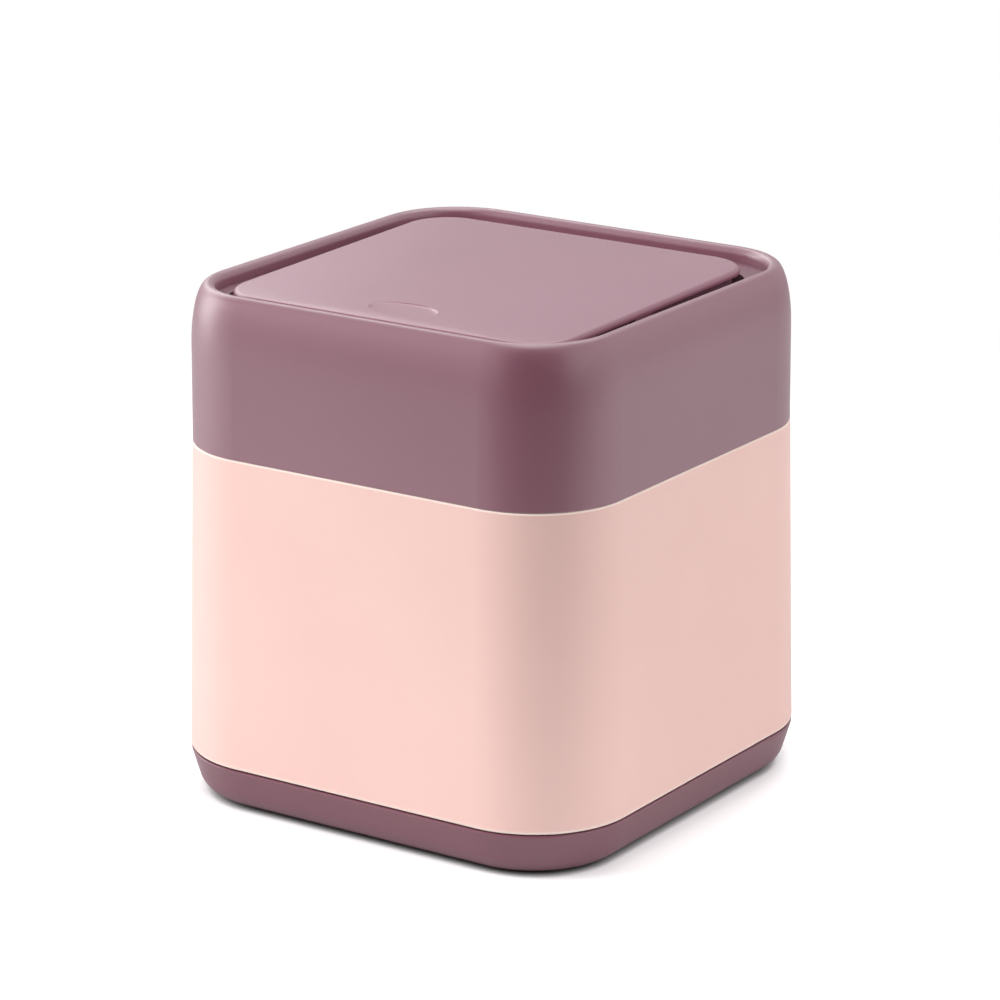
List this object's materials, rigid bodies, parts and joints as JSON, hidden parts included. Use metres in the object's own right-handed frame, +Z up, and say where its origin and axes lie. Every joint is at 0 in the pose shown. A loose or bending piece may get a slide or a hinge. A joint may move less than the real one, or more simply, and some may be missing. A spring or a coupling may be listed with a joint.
{
  "type": "push-lid storage bin",
  "caption": "Square countertop bin: drafted casing on a base tray, lift-out bucket, and lift-off head with a recessed flap that swings inwards when its front edge is pushed.",
  "frame": {"origin": "centre of the resting plane under the feet", "axes": "+Z up; the push edge of the flap faces -Y; the flap's pivot runs along X"},
  "size_m": [0.1958, 0.1958, 0.2065],
  "materials": {
    "mauve_shell": "satin moulded plastic, dusty mauve",
    "mauve_inner": "matt moulded plastic, dark mauve, inner pieces",
    "pink_shell": "satin moulded plastic, pale pink",
    "bucket_grey": "matt moulded plastic, warm light grey",
    "pivot_plastic": "low-friction off-white plastic",
    "soft_rubber": "dark soft rubber",
    "screw_steel": "zinc-plated screws",
    "weight_steel": "cut steel bar"
  },
  "bodies": {
    "casing": {"base_tray": "mauve_shell", "feet": "soft_rubber", "base_screws": "screw_steel", "body_sleeve": "pink_shell"},
    "bucket": {"inner_bucket": "bucket_grey", "bag_ring": "mauve_inner"},
    "head": {"head_shell": "mauve_shell", "head_seal": "soft_rubber", "head_liner": "mauve_inner", "liner_screws": "screw_steel", "stop_pad_left": "soft_rubber", "stop_pad_right": "soft_rubber", "bush_left": "pivot_plastic", "bush_right": "pivot_plastic"},
    "flap": {"flap_cover": "mauve_shell", "flap_pan": "mauve_inner", "flap_screws": "screw_steel", "pivot_pin_left": "pivot_plastic", "pivot_pin_right": "pivot_plastic", "counterweight": "weight_steel", "weight_screws": "screw_steel"}
  },
  "joints": [
    {"name": "bucket_lift", "type": "slide", "parent": "casing", "child": "bucket", "axis": [0, 0, 1], "range_m": [0, 0.14]},
    {"name": "head_lift", "type": "slide", "parent": "bucket", "child": "head", "axis": [0, 0, 1], "range_m": [0, 0.1]},
    {"name": "flap_swing", "type": "hinge", "parent": "head", "child": "flap", "pos_m": [0, -0.012, 0.1913], "axis": [1, 0, 0], "range_deg": [0, 75]}
  ]
}
